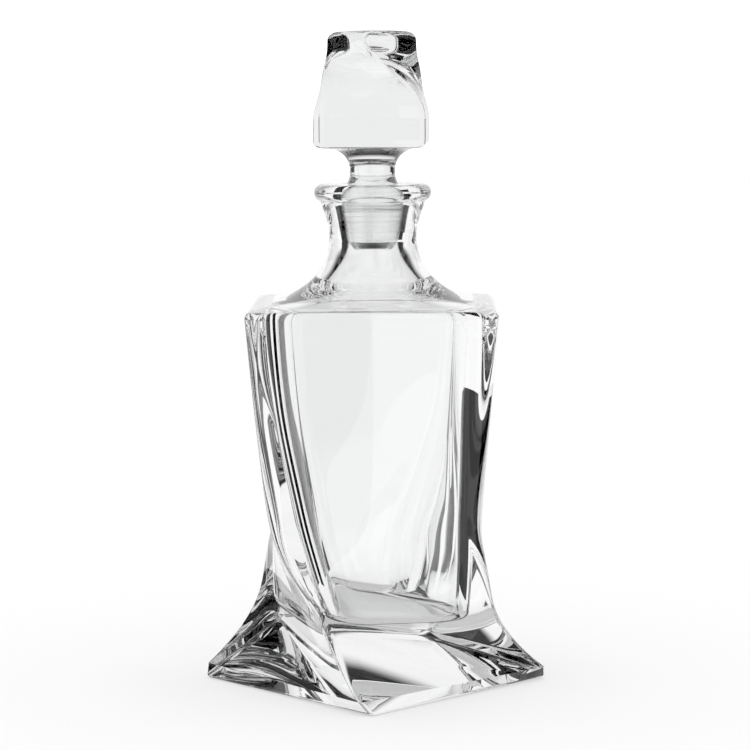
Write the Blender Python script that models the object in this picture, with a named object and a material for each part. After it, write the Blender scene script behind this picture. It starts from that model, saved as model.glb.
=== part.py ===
"""Wine decanter: a heavy clear-glass bottle with a twisted, flared square body, and its ground-glass stopper.

Metres, +Z up. The origin is the centre of the flat underside. The bottle and the stopper are each one loft:
level outlines, all rounded squares or circles, joined ring by ring along a profile. The bottle's profile runs
up the outside and back down the inside.
"""
import math

import bmesh
import bpy
from mathutils import Vector
from mathutils.geometry import interpolate_bezier

# ---- Driving dimensions ---------------------------------------------------------------------------------
OVERALL_HEIGHT = 0.270

BASE_HALF = 0.0506           # half side of the square foot
FOOT_EDGE_HEIGHT = 0.0053    # upright edge round the foot, before the flare starts
FOOT_ROUND = 0.0014          # rounding of that edge against the table
WAIST_HALF = 0.0380          # half side at the narrowest level
WAIST_HEIGHT = 0.0390
FLARE_POWER = 2.1            # how late the foot spreads below the waist
SHOULDER_HALF = 0.0510       # half side where the wall meets the shoulder
TAPER_POWER = 0.76           # below 1 the sides are slightly full between waist and shoulder
TAPER_SOFTNESS = 0.08        # rounding of the turn from flare to taper at the waist
WALL_TOP = 0.1546            # end of the straight wall
SHOULDER_ROUND = 0.0034      # rounding between wall and shoulder
SHOULDER_ARC = (5.0, 72.0)   # degrees that this rounding runs through, to meet the shoulder's slope

BODY_CORNERS = (0.0018, 0.0115)      # corner radius of the outside at the table and at the shoulder
BODY_TWIST = math.radians(45.0)   # turn from the shoulder down to the foot
TWIST_TOP = 0.0647                # level that the even part of the twist runs out at
TWIST_SOFTNESS = 0.143

SHOULDER_HANDLES = ((0.0408, 0.1592), (0.0176, 0.1634))      # Bezier handles from shoulder to neck
NECK_RADIUS = 0.0180
NECK_HEIGHT = 0.1862         # narrowest level of the neck
ROUND_NECK_HALF = 0.0240     # the shoulder has turned from square to round by this radius
FLARE_HANDLES = ((NECK_RADIUS, 0.1905), (0.0204, 0.1960))    # Bezier handles from neck to rim
RIM_RADIUS = 0.0241
RIM_ROUND = 0.0036           # the rim is a full round bead
RIM_HEIGHT = 0.2034          # level of the bead's centre
BEAD_START = -70.0           # degrees from level where the bead grows out of the neck

INNER_TOP_HALF = 0.0426      # half side of the inside just under the shoulder
INNER_LOW_HALF = 0.0318      # and just above its floor
INNER_FULLNESS = 1.45        # above 1 the inside swells quickly low down and is nearly straight at the top
INNER_CORNERS = (0.0150, 0.0130)     # corner radius of the inside at the table's level and at the shoulder
INNER_TWIST = math.radians(29.0)     # the inside twists too, from higher up than the outside
INNER_TWIST_TOP = 0.115
INNER_TWIST_SOFTNESS = 0.15
INNER_WALL_TOP = 0.1545      # end of the inside wall
INNER_ROUND = 0.0025         # rounding between the inside wall and the inside shoulder
INNER_ARC = (68.0, 0.0)      # degrees that this rounding runs through
INNER_NECK = (0.0205, 0.1658)        # radius and level where the inside shoulder meets the inside neck
INNER_SHOULDER_HANDLES = ((0.0252, 0.1624), (0.0330, 0.1588))    # Bezier handles outwards from there
INNER_NECK_HANDLES = ((0.0106, 0.1800), (0.0152, 0.1705))    # Bezier handles from the bore down to there
FLOOR_HEIGHT = 0.0275        # glass under the wine
FLOOR_ROUND = 0.0060

PLUG_TOP_RADIUS = 0.0128     # the ground plug tapers from here
PLUG_TOP = 0.2010
PLUG_LOW_RADIUS = 0.0102     # to here
PLUG_LOW = 0.1832
PLUG_CHAMFER = 0.0025        # polished bevel round the plug's lower end
SEAT_GAP = 0.0003            # clearance between the plug and the ground bore
MOUTH_ROUND = 0.0012         # rounding of the mouth's inner edge
MOUTH_ARC = (90.0, 172.0)    # degrees that this rounding runs through, to meet the taper

STEM_RADIUS = 0.0093
STEM_HEIGHT = 0.2114
STEM_LOW_HANDLES = ((0.0125, 0.2048), (STEM_RADIUS, 0.2075))     # Bezier handles from plug to waist
STEM_HIGH_HANDLES = ((STEM_RADIUS, 0.2155), (0.0105, 0.2206))    # and from there out to the head
ROUND_STEM_HALF = 0.01488    # the head's underside has turned from square to round by this radius
HEAD_LOW = 0.2220            # underside of the stopper's head
HEAD_HALF = 0.0228
HEAD_TOP_HALF = 0.0136
HEAD_CORNERS = (0.0026, 0.0020)      # corner radius of the head low down and at its top
HEAD_ROUND = 0.0030          # rounding of the head's lower edge
HEAD_TOP_ROUND = 0.0036
HEAD_TOP_ARC = (0.0, 84.0)   # degrees that the top's rounding runs through, to meet the dome
HEAD_DOME = 0.0007           # rise of the head's top from its rounded edge to its middle
HEAD_TURN = math.radians(-2.4)     # how the stopper happens to sit in the neck
HEAD_TWIST = math.radians(49.6)    # turn from the head's underside up to its top
HEAD_TAPER_LEVELS = (0.2335, 0.2622)
HEAD_TWIST_LEVELS = (0.2360, 0.2660)
HEAD_TWIST_LATENESS = 1.8    # above 1 most of the head's twist is in its upper half

# ---- Fineness -------------------------------------------------------------------------------------------
CORNER_STEPS = 5             # segments round each corner of an outline
SIDE_STEPS = 3               # segments along each side of it
WALL_STEPS = 16              # rings up the body
RING_CROWDING = 1.5          # above 1 the rings up the body stand closer in the flare
CURVE_STEPS = 6              # rings along each curved stretch
STEM_STEPS = 8               # rings from the stem's waist out to the head
ROUND_STEPS = 4              # rings round each rounded edge
SHARP_ANGLE = math.radians(40.0)     # a fold steeper than this is shaded as a sharp edge

# ---- Glass ----------------------------------------------------------------------------------------------
GLASS_COLOUR = (0.94, 0.96, 0.96, 1.0)
GLASS_IOR = 1.52
POLISHED = 0.0               # roughness of the bottle
PART_GROUND = 0.02           # roughness of the stopper, polished but for its plug


# ---- Small shape functions ------------------------------------------------------------------------------
def mix(start, end, amount):
    return start + (end - start) * amount


def smooth_step(value, low, high):
    """0 below low, 1 above high, with an even S between them."""
    amount = min(max((value - low) / (high - low), 0.0), 1.0)
    return amount * amount * (3.0 - 2.0 * amount)


def soft_ramp(value, softness):
    """0 for negative values and rising evenly for positive ones, rounded at the turn; 1 at a value of 1."""
    def ramp(x):
        return (x + math.hypot(x, softness)) / 2.0
    return ramp(value) / ramp(1.0)


def taper_half(height):
    """Half side of the tapered body, a little full between shoulder and waist, without the foot's flare."""
    rise = soft_ramp((height - WAIST_HEIGHT) / (WALL_TOP - WAIST_HEIGHT), TAPER_SOFTNESS)
    return mix(WAIST_HALF, SHOULDER_HALF, rise ** TAPER_POWER)


def body_half(height):
    """Half side of the outside at a level."""
    drop = (WAIST_HEIGHT - height) / (WAIST_HEIGHT - FOOT_EDGE_HEIGHT)
    drop = min(max(drop, 0.0), 1.0)
    return taper_half(height) + (BASE_HALF - taper_half(FOOT_EDGE_HEIGHT)) * drop ** FLARE_POWER


def body_turn(height):
    """Turn of the body's outline at a level: none at the shoulder, the full twist at the foot."""
    return BODY_TWIST * soft_ramp(1.0 - height / TWIST_TOP, TWIST_SOFTNESS)


def body_corner(height):
    """Corner radius of the outside: crisp at the foot, soft at the shoulder."""
    return mix(*BODY_CORNERS, height / WALL_TOP)


def inner_half(height):
    """Half side of the inside."""
    low = FLOOR_HEIGHT + FLOOR_ROUND
    rise = (height - low) / (INNER_WALL_TOP - low)
    return mix(INNER_TOP_HALF, INNER_LOW_HALF, max(1.0 - rise, 0.0) ** INNER_FULLNESS)


def inner_turn(height):
    return INNER_TWIST * soft_ramp(1.0 - height / INNER_TWIST_TOP, INNER_TWIST_SOFTNESS)


def inner_corner(height):
    return mix(*INNER_CORNERS, height / WALL_TOP)


def head_half(height):
    return mix(HEAD_HALF, HEAD_TOP_HALF, smooth_step(height, *HEAD_TAPER_LEVELS))


def head_turn(height):
    return HEAD_TURN - HEAD_TWIST * smooth_step(height, *HEAD_TWIST_LEVELS) ** HEAD_TWIST_LATENESS


def head_corner(height):
    return mix(*HEAD_CORNERS, smooth_step(height, *HEAD_TAPER_LEVELS))


# ---- Outline stretches: each gives (half side, height) pairs --------------------------------------------
def arc(centre_half, centre_height, radius, start_degrees, end_degrees, steps=ROUND_STEPS):
    """Points round an arc; 0 degrees points outwards and 90 degrees up."""
    points = []
    for step in range(steps + 1):
        angle = math.radians(mix(start_degrees, end_degrees, step / steps))
        points.append((centre_half + radius * math.cos(angle), centre_height + radius * math.sin(angle)))
    return points


def curve(start, handles, end, steps=CURVE_STEPS):
    """Points along one Bezier curve."""
    corners = [Vector((*point, 0.0)) for point in (start, *handles, end)]
    return [(point.x, point.y) for point in interpolate_bezier(*corners, steps + 1)]


# ---- Rings and lofts ------------------------------------------------------------------------------------
def ring(half, height, corner, turn, roundness=0.0):
    """One closed level outline: a rounded square turned about +Z, eased towards a circle by roundness."""
    segments = CORNER_STEPS + SIDE_STEPS
    corner = min(corner, half)
    points = []
    for quarter in range(4):
        facing = math.radians(45.0 + 90.0 * quarter)
        for step in range(segments):
            if step <= CORNER_STEPS:
                normal = facing + math.radians(mix(-45.0, 45.0, step / CORNER_STEPS))
                reach = math.sqrt(2.0) * (half - corner)
                x = reach * math.cos(facing) + corner * math.cos(normal)
                y = reach * math.sin(facing) + corner * math.sin(normal)
            else:
                along = mix(half - corner, corner - half, (step - CORNER_STEPS) / SIDE_STEPS)
                side = facing + math.radians(45.0)
                x = half * math.cos(side) + along * math.sin(side)
                y = half * math.sin(side) - along * math.cos(side)
            even = facing + math.radians(90.0 * (step - CORNER_STEPS / 2.0) / segments)
            x = mix(x, half * math.cos(even), roundness)
            y = mix(y, half * math.sin(even), roundness)
            points.append((x * math.cos(turn) - y * math.sin(turn),
                           x * math.sin(turn) + y * math.cos(turn), height))
    return points


def loft(name, rings, origin_height):
    """A closed solid through the rings, with a flat cap on the first and the last one."""
    shape = bmesh.new()
    rows = []
    for points in rings:
        rows.append([shape.verts.new((x, y, z - origin_height)) for x, y, z in points])
    for lower, upper in zip(rows, rows[1:]):
        for index, vert in enumerate(lower):
            following = (index + 1) % len(lower)
            shape.faces.new((vert, lower[following], upper[following], upper[index]))
    shape.faces.new(list(reversed(rows[0])))
    shape.faces.new(rows[-1])
    bmesh.ops.recalc_face_normals(shape, faces=shape.faces)
    mesh = bpy.data.meshes.new(name)
    shape.to_mesh(mesh)
    shape.free()
    mesh.shade_smooth()
    mesh.set_sharp_from_angle(angle=SHARP_ANGLE)
    piece = bpy.data.objects.new(name, mesh)
    piece.location.z = origin_height
    return piece


# ---- The bottle -----------------------------------------------------------------------------------------
def foot_rings():
    """The flat underside's outline and the foot's rounded and upright edge."""
    outline = arc(BASE_HALF - FOOT_ROUND, FOOT_ROUND, FOOT_ROUND, -90.0, 0.0)
    return [ring(half, height, body_corner(height), body_turn(height)) for half, height in outline]


def wall_rings():
    """The body's outside, from the foot's edge to the shoulder, with closer rings low down in the flare."""
    rings = []
    for step in range(WALL_STEPS + 1):
        height = mix(FOOT_EDGE_HEIGHT, WALL_TOP, (step / WALL_STEPS) ** RING_CROWDING)
        rings.append(ring(body_half(height), height, body_corner(height), body_turn(height)))
    return rings


def shoulder_and_neck_rings():
    """The rounded shoulder edge, the shoulder sweeping from square to round, the neck and the rim."""
    edge = arc(SHOULDER_HALF - SHOULDER_ROUND, WALL_TOP, SHOULDER_ROUND, *SHOULDER_ARC)
    sweep = curve(edge[-1], SHOULDER_HANDLES, (NECK_RADIUS, NECK_HEIGHT), 2 * CURVE_STEPS)
    bead = arc(RIM_RADIUS - RIM_ROUND, RIM_HEIGHT, RIM_ROUND, BEAD_START, 90.0, 2 * ROUND_STEPS)
    neck = curve((NECK_RADIUS, NECK_HEIGHT), FLARE_HANDLES, bead[0])
    rings = []
    for half, height in edge[1:]:
        rings.append(ring(half, height, body_corner(WALL_TOP), body_turn(height)))
    for half, height in sweep[1:] + neck[1:] + bead[1:]:
        roundness = smooth_step(half, SHOULDER_HALF - SHOULDER_ROUND, ROUND_NECK_HALF)
        rings.append(ring(half, height, body_corner(WALL_TOP), 0.0, roundness))
    return rings


def inner_edge():
    """The rounding between the inside shoulder and the inside wall."""
    return arc(INNER_TOP_HALF - INNER_ROUND, INNER_WALL_TOP, INNER_ROUND, *INNER_ARC)


def bore_rings():
    """The mouth's rounded inner edge, the ground bore that seats the plug, and the inside of the neck."""
    bore_low = (PLUG_LOW_RADIUS + SEAT_GAP, PLUG_LOW)
    bore_top = (PLUG_TOP_RADIUS + SEAT_GAP, PLUG_TOP)
    mouth_level = RIM_HEIGHT + RIM_ROUND - MOUTH_ROUND
    mouth = arc(bore_top[0] + MOUTH_ROUND, mouth_level, MOUTH_ROUND, *MOUTH_ARC)
    neck = curve(bore_low, INNER_NECK_HANDLES, INNER_NECK)
    shoulder = curve(INNER_NECK, INNER_SHOULDER_HANDLES, inner_edge()[0])
    rings = []
    for half, height in mouth + [bore_top] + neck + shoulder[1:]:
        roundness = smooth_step(half, inner_edge()[0][0], INNER_NECK[0])
        rings.append(ring(half, height, inner_corner(height), inner_turn(height), roundness))
    return rings


def inside_rings():
    """The inside of the body, from under the shoulder down to the rounded floor."""
    outline = inner_edge()
    wall_low = FLOOR_HEIGHT + FLOOR_ROUND
    for step in range(1, WALL_STEPS + 1):
        height = mix(wall_low, INNER_WALL_TOP, (1.0 - step / WALL_STEPS) ** RING_CROWDING)
        outline.append((inner_half(height), height))
    outline += arc(inner_half(wall_low) - FLOOR_ROUND, wall_low, FLOOR_ROUND, 0.0, -90.0)[1:]
    return [ring(half, height, inner_corner(height), inner_turn(height)) for half, height in outline]


def make_bottle():
    rings = foot_rings() + wall_rings() + shoulder_and_neck_rings() + bore_rings() + inside_rings()
    return loft("bottle", rings, 0.0)


# ---- The stopper ----------------------------------------------------------------------------------------
def make_stopper():
    """The ground plug with its chamfer, the waisted stem and the twisted square head."""
    plug = [(PLUG_LOW_RADIUS - PLUG_CHAMFER, PLUG_LOW - PLUG_CHAMFER), (PLUG_LOW_RADIUS, PLUG_LOW)]
    plug_top = (PLUG_TOP_RADIUS, PLUG_TOP)
    waist = (STEM_RADIUS, STEM_HEIGHT)
    under = (HEAD_HALF - HEAD_ROUND, HEAD_LOW)
    stem_low = curve(plug_top, STEM_LOW_HANDLES, waist)
    stem_high = curve(waist, STEM_HIGH_HANDLES, under, STEM_STEPS)
    rings = []
    for half, height in plug + stem_low + stem_high[1:]:
        roundness = smooth_step(half, under[0], ROUND_STEM_HALF)
        rings.append(ring(half, height, head_corner(height), HEAD_TURN, roundness))
    outline = arc(HEAD_HALF - HEAD_ROUND, HEAD_LOW + HEAD_ROUND, HEAD_ROUND, -90.0, 0.0)[1:]
    wall_low = HEAD_LOW + HEAD_ROUND
    wall_top = OVERALL_HEIGHT - HEAD_DOME - HEAD_TOP_ROUND
    for step in range(1, WALL_STEPS + 1):
        height = mix(wall_low, wall_top, step / WALL_STEPS)
        outline.append((head_half(height), height))
    outline += arc(HEAD_TOP_HALF - HEAD_TOP_ROUND, wall_top, HEAD_TOP_ROUND, *HEAD_TOP_ARC)[1:]
    outline.append((HEAD_TOP_HALF / 3.0, OVERALL_HEIGHT))
    for half, height in outline:
        rings.append(ring(half, height, head_corner(height), head_turn(height)))
    return loft("stopper", rings, PLUG_TOP)


# ---- Materials and assembly -----------------------------------------------------------------------------
def clear_glass(name, roughness):
    material = bpy.data.materials.new(name)
    material.use_nodes = True
    shader = material.node_tree.nodes["Principled BSDF"]
    shader.inputs["Base Color"].default_value = GLASS_COLOUR
    shader.inputs["Metallic"].default_value = 0.0
    shader.inputs["Roughness"].default_value = roughness
    shader.inputs["IOR"].default_value = GLASS_IOR
    shader.inputs["Transmission Weight"].default_value = 1.0
    return material


def main():
    for old in list(bpy.data.objects):
        bpy.data.objects.remove(old)
    decanter = bpy.data.collections.new("wine_decanter")
    bpy.context.scene.collection.children.link(decanter)
    for piece, roughness in ((make_bottle(), POLISHED), (make_stopper(), PART_GROUND)):
        piece.data.materials.append(clear_glass(piece.name + "_glass", roughness))
        decanter.objects.link(piece)


main()
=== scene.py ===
"""The looks of the wine decanter: a twisted clear-glass bottle and its ground-glass stopper, photographed
against a white backdrop between dark flags.

Both pieces are lofted again here along the same profiles as the CAD part's, finely enough for clean
refraction, and each one replaces its faceted CAD node. Metres, +Z up. The origin is the centre of the flat
underside.
"""
import math

import bmesh
import bpy
from mathutils import Matrix, Vector
from mathutils.geometry import interpolate_bezier


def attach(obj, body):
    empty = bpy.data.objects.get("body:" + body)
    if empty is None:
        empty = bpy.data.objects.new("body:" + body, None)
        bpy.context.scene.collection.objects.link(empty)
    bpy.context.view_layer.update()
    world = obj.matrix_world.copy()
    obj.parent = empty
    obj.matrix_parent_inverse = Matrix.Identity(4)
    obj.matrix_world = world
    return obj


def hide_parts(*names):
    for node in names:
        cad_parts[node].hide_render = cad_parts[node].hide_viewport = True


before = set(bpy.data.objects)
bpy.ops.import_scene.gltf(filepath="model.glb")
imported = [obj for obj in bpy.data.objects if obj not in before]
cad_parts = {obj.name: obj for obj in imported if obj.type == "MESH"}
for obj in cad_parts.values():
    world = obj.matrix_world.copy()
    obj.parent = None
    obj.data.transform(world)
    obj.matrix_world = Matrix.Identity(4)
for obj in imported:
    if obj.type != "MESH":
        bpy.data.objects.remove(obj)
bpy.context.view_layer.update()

# ---- Driving dimensions, the same as the CAD part's -----------------------------------------------------
OVERALL_HEIGHT = 0.270

BASE_HALF = 0.0506           # half side of the square foot
FOOT_EDGE_HEIGHT = 0.0053    # upright edge round the foot, before the flare starts
FOOT_ROUND = 0.0014          # rounding of that edge against the table
WAIST_HALF = 0.0380          # half side at the narrowest level
WAIST_HEIGHT = 0.0390
FLARE_POWER = 2.1            # how late the foot spreads below the waist
SHOULDER_HALF = 0.0510       # half side where the wall meets the shoulder
TAPER_POWER = 0.76           # below 1 the sides are slightly full between waist and shoulder
TAPER_SOFTNESS = 0.08        # rounding of the turn from flare to taper at the waist
WALL_TOP = 0.1546            # end of the straight wall
SHOULDER_ROUND = 0.0034      # rounding between wall and shoulder
SHOULDER_ARC = (5.0, 72.0)   # degrees that this rounding runs through, to meet the shoulder's slope

BODY_CORNERS = (0.0018, 0.0115)      # corner radius of the outside at the table and at the shoulder
BODY_TWIST = math.radians(45.0)   # turn from the shoulder down to the foot
TWIST_TOP = 0.0647                # level that the even part of the twist runs out at
TWIST_SOFTNESS = 0.143

SHOULDER_HANDLES = ((0.0408, 0.1592), (0.0176, 0.1634))      # Bezier handles from shoulder to neck
NECK_RADIUS = 0.0180
NECK_HEIGHT = 0.1862         # narrowest level of the neck
ROUND_NECK_HALF = 0.0240     # the shoulder has turned from square to round by this radius
FLARE_HANDLES = ((NECK_RADIUS, 0.1905), (0.0204, 0.1960))    # Bezier handles from neck to rim
RIM_RADIUS = 0.0241
RIM_ROUND = 0.0036           # the rim is a full round bead
RIM_HEIGHT = 0.2034          # level of the bead's centre
BEAD_START = -70.0           # degrees from level where the bead grows out of the neck

INNER_TOP_HALF = 0.0426      # half side of the inside just under the shoulder
INNER_LOW_HALF = 0.0318      # and just above its floor
INNER_FULLNESS = 1.45        # above 1 the inside swells quickly low down and is nearly straight at the top
INNER_CORNERS = (0.0150, 0.0130)     # corner radius of the inside at the table's level and at the shoulder
INNER_TWIST = math.radians(29.0)     # the inside twists too, from higher up than the outside
INNER_TWIST_TOP = 0.115
INNER_TWIST_SOFTNESS = 0.15
INNER_WALL_TOP = 0.1545      # end of the inside wall
INNER_ROUND = 0.0025         # rounding between the inside wall and the inside shoulder
INNER_ARC = (68.0, 0.0)      # degrees that this rounding runs through
INNER_NECK = (0.0205, 0.1658)        # radius and level where the inside shoulder meets the inside neck
INNER_SHOULDER_HANDLES = ((0.0252, 0.1624), (0.0330, 0.1588))    # Bezier handles outwards from there
INNER_NECK_HANDLES = ((0.0106, 0.1800), (0.0152, 0.1705))    # Bezier handles from the bore down to there
FLOOR_HEIGHT = 0.0275        # glass under the wine
FLOOR_ROUND = 0.0060

PLUG_TOP_RADIUS = 0.0128     # the ground plug tapers from here
PLUG_TOP = 0.2010
PLUG_LOW_RADIUS = 0.0102     # to here
PLUG_LOW = 0.1832
PLUG_CHAMFER = 0.0025        # polished bevel round the plug's lower end
SEAT_GAP = 0.0003            # clearance between the plug and the ground bore
MOUTH_ROUND = 0.0012         # rounding of the mouth's inner edge
MOUTH_ARC = (90.0, 172.0)    # degrees that this rounding runs through, to meet the taper

STEM_RADIUS = 0.0093
STEM_HEIGHT = 0.2114
STEM_LOW_HANDLES = ((0.0125, 0.2048), (STEM_RADIUS, 0.2075))     # Bezier handles from plug to waist
STEM_HIGH_HANDLES = ((STEM_RADIUS, 0.2155), (0.0105, 0.2206))    # and from there out to the head
ROUND_STEM_HALF = 0.01488    # the head's underside has turned from square to round by this radius
HEAD_LOW = 0.2220            # underside of the stopper's head
HEAD_HALF = 0.0228
HEAD_TOP_HALF = 0.0136
HEAD_CORNERS = (0.0026, 0.0020)      # corner radius of the head low down and at its top
HEAD_ROUND = 0.0030          # rounding of the head's lower edge
HEAD_TOP_ROUND = 0.0036
HEAD_TOP_ARC = (0.0, 84.0)   # degrees that the top's rounding runs through, to meet the dome
HEAD_DOME = 0.0007           # rise of the head's top from its rounded edge to its middle
HEAD_TURN = math.radians(-2.4)     # how the stopper happens to sit in the neck
HEAD_TWIST = math.radians(49.6)    # turn from the head's underside up to its top
HEAD_TAPER_LEVELS = (0.2335, 0.2622)
HEAD_TWIST_LEVELS = (0.2360, 0.2660)
HEAD_TWIST_LATENESS = 1.8    # above 1 most of the head's twist is in its upper half

# ---- Fineness -------------------------------------------------------------------------------------------
CORNER_STEPS = 14            # segments round each corner of an outline
SIDE_STEPS = 14              # segments along each side of it
WALL_STEPS = 110             # rings up the body
RING_CROWDING = 1.5          # above 1 the rings up the body stand closer in the flare
CURVE_STEPS = 20             # rings along each curved stretch
ROUND_STEPS = 10             # rings round each rounded edge
SHARP_ANGLE = math.radians(35.0)     # a fold steeper than this is shaded as a sharp edge

# ---- The photograph's camera ----------------------------------------------------------------------------
CAMERA_DISTANCE = 1.1324     # level distance from the decanter's axis
CAMERA_HEIGHT = 0.25245
CAMERA_AZIMUTH = math.radians(1.05)
CAMERA_PITCH = math.radians(-6.29)
CAMERA_PAN = math.radians(0.027)     # to the right
CAMERA_ROLL = math.radians(-0.342)
CAMERA_LENS = 131.7          # focal length in millimetres
SENSOR_WIDTH = 36.0          # millimetres

# ---- Glass ----------------------------------------------------------------------------------------------
GLASS_IOR = 1.52
BOTTLE_COLOUR = (0.975, 0.978, 0.978, 1.0)
STOPPER_COLOUR = (0.91, 0.915, 0.915, 1.0)       # thicker glass, so it takes a little more of the light
HAZE_ROUGHNESS = 0.012       # the most that wiping marks add
HAZE_SCALE = (60.0, 60.0, 35.0)      # marks to the metre along X, Y and Z
HAZE_DETAIL = 3.0            # octaves of finer marks within them
HAZE_RANGE = (0.5, 0.8)      # noise values that the haze starts and is full at
WAVE_DEPTH = 0.00006         # relief of the pressed surfaces' waviness
WAVE_SCALE = (32.0, 32.0, 22.0)      # waves to the metre
GROUND_ROUGHNESS = (0.10, 0.30)      # least and most matt of the ground cone's lines
GROUND_EDGE = 0.0004         # width of the step from polished to ground glass
GROOVE_DEPTH = 0.00008       # relief of the ground cone's lines
GROOVE_SCALE = (40.0, 40.0, 900.0)   # long and level, 900 to the metre
GROOVE_DETAIL = 2.0
GROOVE_RANGE = (0.3, 0.7)    # noise values of the least and the most matt lines

# ---- Studio: azimuths run from straight behind the decanter, positive to the right ----------------------
FLOOR_LEVEL = -0.0004        # a hair below the glass, which touches the real table at a few points only
FLOOR_RADIUS = 6.0
FLOOR_SIDES = 96
FLOOR_ROUGHNESS = 0.5
FLOOR_WHITE = 0.32           # the floor is a light table: it glows, and shows only a faint shadow
FLOOR_GLOW = 0.55
PLAIN_WHITE = 1.50           # what lights the floor, and what the camera sees beyond it
ROOM_WHITE = 0.03            # the rest of the studio
SOFT_EDGE = 4.0              # degrees that the white areas fade over at their sides
# The white areas: middle, half width, brightness, and the levels that their top fade starts and ends at.
WHITE_AREAS = ((0.0, 42.0, 1.00, 20.0, 34.0),
               (-90.0, 7.5, 0.95, 30.0, 40.0),
               (-132.0, 20.0, 0.90, 16.0, 28.0),
               (145.0, 22.0, 0.85, 20.0, 32.0))
FLAG_HEIGHT = 0.40
# The black cards: each from azimuth to azimuth and from height to height.
FLAGS = ((-83.0, -47.0, FLOOR_LEVEL, FLAG_HEIGHT),
         (-112.0, -97.0, FLOOR_LEVEL, FLAG_HEIGHT),
         (-180.0, -156.0, FLOOR_LEVEL, FLAG_HEIGHT),
         (57.0, 120.0, FLOOR_LEVEL, 0.112),
         (57.0, 120.0, 0.165, FLAG_HEIGHT))
FLAG_RADIUS = 0.11
FLAG_PANEL = 4.0             # degrees that one flat panel of a card spans
MOST_BOUNCES = 32            # a ray crosses many glass surfaces and is reflected inside the glass as well


# ---- Small shape functions ------------------------------------------------------------------------------
def mix(start, end, amount):
    return start + (end - start) * amount


def smooth_step(value, low, high):
    """0 below low, 1 above high, with an even S between them."""
    amount = min(max((value - low) / (high - low), 0.0), 1.0)
    return amount * amount * (3.0 - 2.0 * amount)


def soft_ramp(value, softness):
    """0 for negative values and rising evenly for positive ones, rounded at the turn; 1 at a value of 1."""
    def ramp(x):
        return (x + math.hypot(x, softness)) / 2.0
    return ramp(value) / ramp(1.0)


def taper_half(height):
    """Half side of the tapered body, a little full between shoulder and waist, without the foot's flare."""
    rise = soft_ramp((height - WAIST_HEIGHT) / (WALL_TOP - WAIST_HEIGHT), TAPER_SOFTNESS)
    return mix(WAIST_HALF, SHOULDER_HALF, rise ** TAPER_POWER)


def body_half(height):
    """Half side of the outside at a level."""
    drop = (WAIST_HEIGHT - height) / (WAIST_HEIGHT - FOOT_EDGE_HEIGHT)
    drop = min(max(drop, 0.0), 1.0)
    return taper_half(height) + (BASE_HALF - taper_half(FOOT_EDGE_HEIGHT)) * drop ** FLARE_POWER


def body_turn(height):
    """Turn of the body's outline at a level: none at the shoulder, the full twist at the foot."""
    return BODY_TWIST * soft_ramp(1.0 - height / TWIST_TOP, TWIST_SOFTNESS)


def body_corner(height):
    """Corner radius of the outside: crisp at the foot, soft at the shoulder."""
    return mix(*BODY_CORNERS, height / WALL_TOP)


def inner_half(height):
    """Half side of the inside."""
    low = FLOOR_HEIGHT + FLOOR_ROUND
    rise = (height - low) / (INNER_WALL_TOP - low)
    return mix(INNER_TOP_HALF, INNER_LOW_HALF, max(1.0 - rise, 0.0) ** INNER_FULLNESS)


def inner_turn(height):
    return INNER_TWIST * soft_ramp(1.0 - height / INNER_TWIST_TOP, INNER_TWIST_SOFTNESS)


def inner_corner(height):
    return mix(*INNER_CORNERS, height / WALL_TOP)


def head_half(height):
    return mix(HEAD_HALF, HEAD_TOP_HALF, smooth_step(height, *HEAD_TAPER_LEVELS))


def head_turn(height):
    return HEAD_TURN - HEAD_TWIST * smooth_step(height, *HEAD_TWIST_LEVELS) ** HEAD_TWIST_LATENESS


def head_corner(height):
    return mix(*HEAD_CORNERS, smooth_step(height, *HEAD_TAPER_LEVELS))


# ---- Outline stretches: each gives (half side, height) pairs --------------------------------------------
def arc(centre_half, centre_height, radius, start_degrees, end_degrees, steps=ROUND_STEPS):
    """Points round an arc; 0 degrees points outwards and 90 degrees up."""
    points = []
    for step in range(steps + 1):
        angle = math.radians(mix(start_degrees, end_degrees, step / steps))
        points.append((centre_half + radius * math.cos(angle), centre_height + radius * math.sin(angle)))
    return points


def curve(start, handles, end, steps=CURVE_STEPS):
    """Points along one Bezier curve."""
    corners = [Vector((*point, 0.0)) for point in (start, *handles, end)]
    return [(point.x, point.y) for point in interpolate_bezier(*corners, steps + 1)]


# ---- Rings and lofts ------------------------------------------------------------------------------------
def ring(half, height, corner, turn, roundness=0.0):
    """One closed level outline: a rounded square turned about +Z, eased towards a circle by roundness."""
    segments = CORNER_STEPS + SIDE_STEPS
    corner = min(corner, half)
    points = []
    for quarter in range(4):
        facing = math.radians(45.0 + 90.0 * quarter)
        for step in range(segments):
            if step <= CORNER_STEPS:
                normal = facing + math.radians(mix(-45.0, 45.0, step / CORNER_STEPS))
                reach = math.sqrt(2.0) * (half - corner)
                x = reach * math.cos(facing) + corner * math.cos(normal)
                y = reach * math.sin(facing) + corner * math.sin(normal)
            else:
                along = mix(half - corner, corner - half, (step - CORNER_STEPS) / SIDE_STEPS)
                side = facing + math.radians(45.0)
                x = half * math.cos(side) + along * math.sin(side)
                y = half * math.sin(side) - along * math.cos(side)
            even = facing + math.radians(90.0 * (step - CORNER_STEPS / 2.0) / segments)
            x = mix(x, half * math.cos(even), roundness)
            y = mix(y, half * math.sin(even), roundness)
            points.append((x * math.cos(turn) - y * math.sin(turn),
                           x * math.sin(turn) + y * math.cos(turn), height))
    return points


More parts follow.
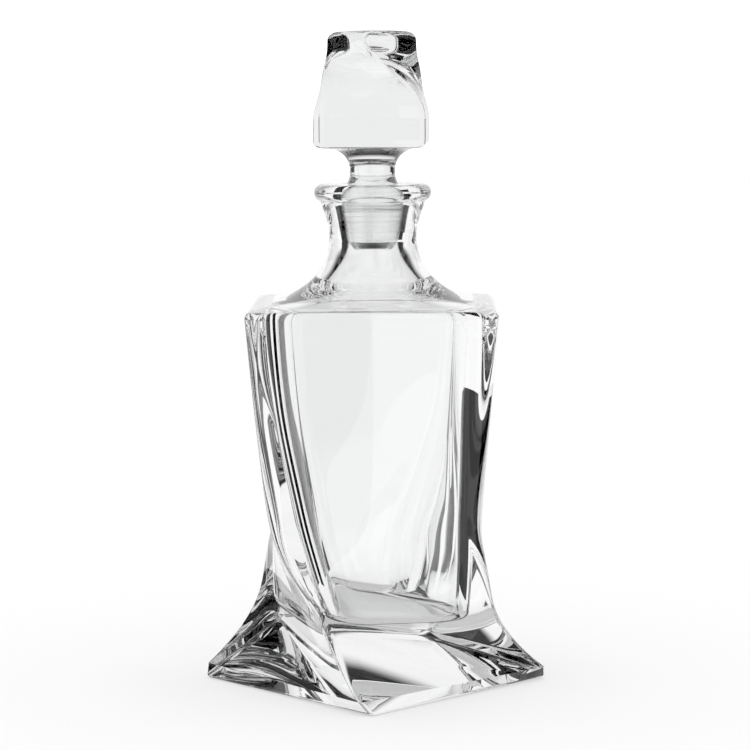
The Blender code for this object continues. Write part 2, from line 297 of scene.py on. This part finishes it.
def loft(name, rings):
    """A closed solid through the rings, with a flat cap on the first and the last one."""
    shape = bmesh.new()
    rows = [[shape.verts.new(point) for point in points] for points in rings]
    for lower, upper in zip(rows, rows[1:]):
        for index, vert in enumerate(lower):
            following = (index + 1) % len(lower)
            shape.faces.new((vert, lower[following], upper[following], upper[index]))
    shape.faces.new(list(reversed(rows[0])))
    shape.faces.new(rows[-1])
    bmesh.ops.recalc_face_normals(shape, faces=shape.faces)
    mesh = bpy.data.meshes.new(name)
    shape.to_mesh(mesh)
    shape.free()
    mesh.shade_smooth()
    mesh.set_sharp_from_angle(angle=SHARP_ANGLE)
    piece = bpy.data.objects.new(name, mesh)
    bpy.context.scene.collection.objects.link(piece)
    return piece


# ---- The bottle -----------------------------------------------------------------------------------------
def foot_rings():
    """The flat underside's outline and the foot's rounded and upright edge."""
    outline = arc(BASE_HALF - FOOT_ROUND, FOOT_ROUND, FOOT_ROUND, -90.0, 0.0)
    return [ring(half, height, body_corner(height), body_turn(height)) for half, height in outline]


def wall_rings():
    """The body's outside, from the foot's edge to the shoulder, with closer rings low down in the flare."""
    rings = []
    for step in range(WALL_STEPS + 1):
        height = mix(FOOT_EDGE_HEIGHT, WALL_TOP, (step / WALL_STEPS) ** RING_CROWDING)
        rings.append(ring(body_half(height), height, body_corner(height), body_turn(height)))
    return rings


def shoulder_and_neck_rings():
    """The rounded shoulder edge, the shoulder sweeping from square to round, the neck and the rim."""
    edge = arc(SHOULDER_HALF - SHOULDER_ROUND, WALL_TOP, SHOULDER_ROUND, *SHOULDER_ARC)
    sweep = curve(edge[-1], SHOULDER_HANDLES, (NECK_RADIUS, NECK_HEIGHT), 3 * CURVE_STEPS)
    bead = arc(RIM_RADIUS - RIM_ROUND, RIM_HEIGHT, RIM_ROUND, BEAD_START, 90.0, 2 * ROUND_STEPS)
    neck = curve((NECK_RADIUS, NECK_HEIGHT), FLARE_HANDLES, bead[0])
    rings = []
    for half, height in edge[1:]:
        rings.append(ring(half, height, body_corner(WALL_TOP), body_turn(height)))
    for half, height in sweep[1:] + neck[1:] + bead[1:]:
        roundness = smooth_step(half, SHOULDER_HALF - SHOULDER_ROUND, ROUND_NECK_HALF)
        rings.append(ring(half, height, body_corner(WALL_TOP), 0.0, roundness))
    return rings


def inner_edge():
    """The rounding between the inside shoulder and the inside wall."""
    return arc(INNER_TOP_HALF - INNER_ROUND, INNER_WALL_TOP, INNER_ROUND, *INNER_ARC)


def bore_rings():
    """The mouth's rounded inner edge, the ground bore that seats the plug, and the inside of the neck."""
    bore_low = (PLUG_LOW_RADIUS + SEAT_GAP, PLUG_LOW)
    bore_top = (PLUG_TOP_RADIUS + SEAT_GAP, PLUG_TOP)
    mouth_level = RIM_HEIGHT + RIM_ROUND - MOUTH_ROUND
    mouth = arc(bore_top[0] + MOUTH_ROUND, mouth_level, MOUTH_ROUND, *MOUTH_ARC)
    neck = curve(bore_low, INNER_NECK_HANDLES, INNER_NECK)
    shoulder = curve(INNER_NECK, INNER_SHOULDER_HANDLES, inner_edge()[0])
    rings = []
    for half, height in mouth + [bore_top] + neck + shoulder[1:]:
        roundness = smooth_step(half, inner_edge()[0][0], INNER_NECK[0])
        rings.append(ring(half, height, inner_corner(height), inner_turn(height), roundness))
    return rings


def inside_rings():
    """The inside of the body, from under the shoulder down to the rounded floor."""
    outline = inner_edge()
    wall_low = FLOOR_HEIGHT + FLOOR_ROUND
    for step in range(1, WALL_STEPS + 1):
        height = mix(wall_low, INNER_WALL_TOP, (1.0 - step / WALL_STEPS) ** RING_CROWDING)
        outline.append((inner_half(height), height))
    outline += arc(inner_half(wall_low) - FLOOR_ROUND, wall_low, FLOOR_ROUND, 0.0, -90.0)[1:]
    return [ring(half, height, inner_corner(height), inner_turn(height)) for half, height in outline]


def make_bottle():
    rings = foot_rings() + wall_rings() + shoulder_and_neck_rings() + bore_rings() + inside_rings()
    return loft("clear_bottle", rings)


# ---- The stopper ----------------------------------------------------------------------------------------
def make_stopper():
    """The ground plug with its chamfer, the waisted stem and the twisted square head."""
    plug = [(PLUG_LOW_RADIUS - PLUG_CHAMFER, PLUG_LOW - PLUG_CHAMFER), (PLUG_LOW_RADIUS, PLUG_LOW)]
    plug_top = (PLUG_TOP_RADIUS, PLUG_TOP)
    waist = (STEM_RADIUS, STEM_HEIGHT)
    under = (HEAD_HALF - HEAD_ROUND, HEAD_LOW)
    stem_low = curve(plug_top, STEM_LOW_HANDLES, waist)
    stem_high = curve(waist, STEM_HIGH_HANDLES, under, 2 * CURVE_STEPS)
    rings = []
    for half, height in plug + stem_low + stem_high[1:]:
        roundness = smooth_step(half, under[0], ROUND_STEM_HALF)
        rings.append(ring(half, height, head_corner(height), HEAD_TURN, roundness))
    outline = arc(HEAD_HALF - HEAD_ROUND, HEAD_LOW + HEAD_ROUND, HEAD_ROUND, -90.0, 0.0)[1:]
    wall_low = HEAD_LOW + HEAD_ROUND
    wall_top = OVERALL_HEIGHT - HEAD_DOME - HEAD_TOP_ROUND
    for step in range(1, WALL_STEPS + 1):
        height = mix(wall_low, wall_top, step / WALL_STEPS)
        outline.append((head_half(height), height))
    outline += arc(HEAD_TOP_HALF - HEAD_TOP_ROUND, wall_top, HEAD_TOP_ROUND, *HEAD_TOP_ARC)[1:]
    outline.append((HEAD_TOP_HALF / 3.0, OVERALL_HEIGHT))
    for half, height in outline:
        rings.append(ring(half, height, head_corner(height), head_turn(height)))
    return loft("ground_stopper", rings)


# ---- Node helpers ---------------------------------------------------------------------------------------
def add_math(tree, operation, *values):
    """A Math node fed by sockets or numbers; gives its output."""
    node = tree.nodes.new("ShaderNodeMath")
    node.operation = operation
    for index, value in enumerate(values):
        if isinstance(value, (int, float)):
            node.inputs[index].default_value = value
        else:
            tree.links.new(value, node.inputs[index])
    return node.outputs[0]


def add_fade(tree, value, start, end, from_level, to_level):
    """A smooth change of level while a value runs from start to end."""
    node = tree.nodes.new("ShaderNodeMapRange")
    node.interpolation_type = "SMOOTHSTEP"
    tree.links.new(value, node.inputs["Value"])
    node.inputs["From Min"].default_value = start
    node.inputs["From Max"].default_value = end
    node.inputs["To Min"].default_value = from_level
    node.inputs["To Max"].default_value = to_level
    return node.outputs["Result"]


def add_noise(tree, stretch, detail=0.0):
    """Noise over the object's own coordinates, with so many features to the metre along X, Y and Z."""
    coords = tree.nodes.new("ShaderNodeTexCoord")
    mapping = tree.nodes.new("ShaderNodeMapping")
    mapping.inputs["Scale"].default_value = stretch
    noise = tree.nodes.new("ShaderNodeTexNoise")
    noise.inputs["Scale"].default_value = 1.0
    noise.inputs["Detail"].default_value = detail
    tree.links.new(coords.outputs["Object"], mapping.inputs["Vector"])
    tree.links.new(mapping.outputs["Vector"], noise.inputs["Vector"])
    return noise.outputs["Fac"]


def add_bump(tree, height, distance, under=None):
    """A relief of that depth in metres, on top of another one."""
    bump = tree.nodes.new("ShaderNodeBump")
    bump.inputs["Distance"].default_value = distance
    tree.links.new(height, bump.inputs["Height"])
    if under is not None:
        tree.links.new(under, bump.inputs["Normal"])
    return bump.outputs["Normal"]


# ---- Materials ------------------------------------------------------------------------------------------
def ground_mask(tree):
    """1 on the plug's ground cone, 0 on the polished glass."""
    coords = tree.nodes.new("ShaderNodeTexCoord")
    place = tree.nodes.new("ShaderNodeSeparateXYZ")
    tree.links.new(coords.outputs["Object"], place.inputs[0])
    above = add_fade(tree, place.outputs["Z"], PLUG_LOW, PLUG_LOW + GROUND_EDGE, 0.0, 1.0)
    below = add_fade(tree, place.outputs["Z"], PLUG_TOP - GROUND_EDGE, PLUG_TOP, 1.0, 0.0)
    square_x = add_math(tree, "POWER", place.outputs["X"], 2.0)
    square_y = add_math(tree, "POWER", place.outputs["Y"], 2.0)
    radius = add_math(tree, "SQRT", add_math(tree, "ADD", square_x, square_y))
    inside = add_math(tree, "LESS_THAN", radius, PLUG_TOP_RADIUS + 2.0 * SEAT_GAP)
    return add_math(tree, "MULTIPLY", add_math(tree, "MULTIPLY", above, below), inside)


def crystal_glass(name, colour, is_ground=False):
    """Clear pressed crystal, faintly wavy and with a faint haze of wiping marks. The plug is ground glass."""
    material = bpy.data.materials.new(name)
    material.use_nodes = True
    tree = material.node_tree
    shader = tree.nodes["Principled BSDF"]
    shader.inputs["Base Color"].default_value = colour
    shader.inputs["IOR"].default_value = GLASS_IOR
    shader.inputs["Transmission Weight"].default_value = 1.0
    marks = add_noise(tree, HAZE_SCALE, HAZE_DETAIL)
    roughness = add_fade(tree, marks, *HAZE_RANGE, 0.0, HAZE_ROUGHNESS)
    relief = add_bump(tree, add_noise(tree, WAVE_SCALE), WAVE_DEPTH)
    if is_ground:
        ground = ground_mask(tree)
        lines = add_noise(tree, GROOVE_SCALE, GROOVE_DETAIL)
        matt = add_fade(tree, lines, *GROOVE_RANGE, *GROUND_ROUGHNESS)
        roughness = add_math(tree, "ADD", roughness, add_math(tree, "MULTIPLY", matt, ground))
        relief = add_bump(tree, add_math(tree, "MULTIPLY", lines, ground), GROOVE_DEPTH, relief)
    tree.links.new(roughness, shader.inputs["Roughness"])
    tree.links.new(relief, shader.inputs["Normal"])
    return material


# ---- Studio ---------------------------------------------------------------------------------------------
def make_floor():
    bpy.ops.mesh.primitive_circle_add(vertices=FLOOR_SIDES, radius=FLOOR_RADIUS, fill_type="NGON",
                                      location=(0.0, 0.0, FLOOR_LEVEL))
    floor = bpy.context.active_object
    floor.name = "floor"
    material = bpy.data.materials.new("white_floor")
    material.use_nodes = True
    shader = material.node_tree.nodes["Principled BSDF"]
    shader.inputs["Base Color"].default_value = (FLOOR_WHITE, FLOOR_WHITE, FLOOR_WHITE, 1.0)
    shader.inputs["Roughness"].default_value = FLOOR_ROUGHNESS
    shader.inputs["Specular IOR Level"].default_value = 0.0
    shader.inputs["Emission Color"].default_value = (1.0, 1.0, 1.0, 1.0)
    shader.inputs["Emission Strength"].default_value = FLOOR_GLOW
    floor.data.materials.append(material)


def make_flags():
    """Upright black cards round the decanter, which only the glass sees: they draw its dark lines."""
    material = bpy.data.materials.new("black_card")
    material.use_nodes = True
    shader = material.node_tree.nodes["Principled BSDF"]
    shader.inputs["Base Color"].default_value = (0.0, 0.0, 0.0, 1.0)
    shader.inputs["Specular IOR Level"].default_value = 0.0
    for number, (start, end, low, high) in enumerate(FLAGS):
        shape = bmesh.new()
        steps = math.ceil((end - start) / FLAG_PANEL)
        columns = []
        for step in range(steps + 1):
            angle = math.radians(mix(start, end, step / steps))
            x = FLAG_RADIUS * math.sin(angle)
            y = FLAG_RADIUS * math.cos(angle)
            columns.append((shape.verts.new((x, y, low)), shape.verts.new((x, y, high))))
        for left, right in zip(columns, columns[1:]):
            shape.faces.new((left[0], right[0], right[1], left[1]))
        mesh = bpy.data.meshes.new("black_card")
        shape.to_mesh(mesh)
        shape.free()
        mesh.materials.append(material)
        flag = bpy.data.objects.new(f"black_card_{number + 1}", mesh)
        bpy.context.scene.collection.objects.link(flag)
        flag.visible_camera = False
        flag.visible_diffuse = False
        flag.visible_shadow = False


def make_world():
    """The studio as the glass sees it: white areas with soft edges in a dim room. The floor and the camera
    see plain white in place of them."""
    world = bpy.data.worlds.new("studio")
    bpy.context.scene.world = world
    world.use_nodes = True
    tree = world.node_tree
    coords = tree.nodes.new("ShaderNodeTexCoord")
    direction = tree.nodes.new("ShaderNodeSeparateXYZ")
    tree.links.new(coords.outputs["Generated"], direction.inputs[0])
    azimuth = add_math(tree, "ARCTAN2", direction.outputs["X"], direction.outputs["Y"])
    level = add_math(tree, "ARCSINE", direction.outputs["Z"])
    seen = ROOM_WHITE
    for middle, half_width, brightness, fade_start, fade_end in WHITE_AREAS:
        off_middle = add_math(tree, "SUBTRACT", azimuth, math.radians(middle))
        off_middle = add_math(tree, "ABSOLUTE", add_math(tree, "WRAP", off_middle, math.pi, -math.pi))
        sides = add_fade(tree, off_middle, math.radians(half_width - SOFT_EDGE),
                         math.radians(half_width + SOFT_EDGE), brightness, 0.0)
        top = add_fade(tree, level, math.radians(fade_start), math.radians(fade_end), 1.0, 0.0)
        seen = add_math(tree, "MAXIMUM", add_math(tree, "MULTIPLY", sides, top), seen)
    path = tree.nodes.new("ShaderNodeLightPath")
    plain = add_math(tree, "MAXIMUM", path.outputs["Is Camera Ray"], path.outputs["Is Diffuse Ray"])
    choose = tree.nodes.new("ShaderNodeMix")
    tree.links.new(plain, choose.inputs["Factor"])
    tree.links.new(seen, choose.inputs["A"])
    choose.inputs["B"].default_value = PLAIN_WHITE
    tree.links.new(choose.outputs["Result"], tree.nodes["Background"].inputs["Strength"])
    tree.nodes["Background"].inputs["Color"].default_value = (1.0, 1.0, 1.0, 1.0)


def make_camera():
    data = bpy.data.cameras.new("camera")
    data.lens = CAMERA_LENS
    data.sensor_width = SENSOR_WIDTH
    camera = bpy.data.objects.new("camera", data)
    bpy.context.scene.collection.objects.link(camera)
    place = Vector((CAMERA_DISTANCE * math.sin(CAMERA_AZIMUTH), -CAMERA_DISTANCE * math.cos(CAMERA_AZIMUTH),
                    CAMERA_HEIGHT))
    level = Matrix.Rotation(CAMERA_AZIMUTH - CAMERA_PAN, 4, "Z")
    pitch = Matrix.Rotation(math.radians(90.0) + CAMERA_PITCH, 4, "X")
    roll = Matrix.Rotation(CAMERA_ROLL, 4, "Z")
    camera.matrix_world = Matrix.Translation(place) @ level @ pitch @ roll
    bpy.context.scene.camera = camera


# ---- Assembly -------------------------------------------------------------------------------------------
def main():
    bottle = make_bottle()
    bottle.data.materials.append(crystal_glass("bottle_crystal", BOTTLE_COLOUR))
    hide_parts("bottle")
    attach(bottle, "bottle")
    stopper = make_stopper()
    stopper.data.materials.append(crystal_glass("stopper_crystal", STOPPER_COLOUR, is_ground=True))
    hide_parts("stopper")
    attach(stopper, "stopper")
    make_floor()
    make_flags()
    make_world()
    make_camera()
    scene = bpy.context.scene
    scene.view_settings.view_transform = "Standard"
    scene.cycles.max_bounces = MOST_BOUNCES
    scene.cycles.transmission_bounces = MOST_BOUNCES
    scene.cycles.glossy_bounces = MOST_BOUNCES // 2


main()
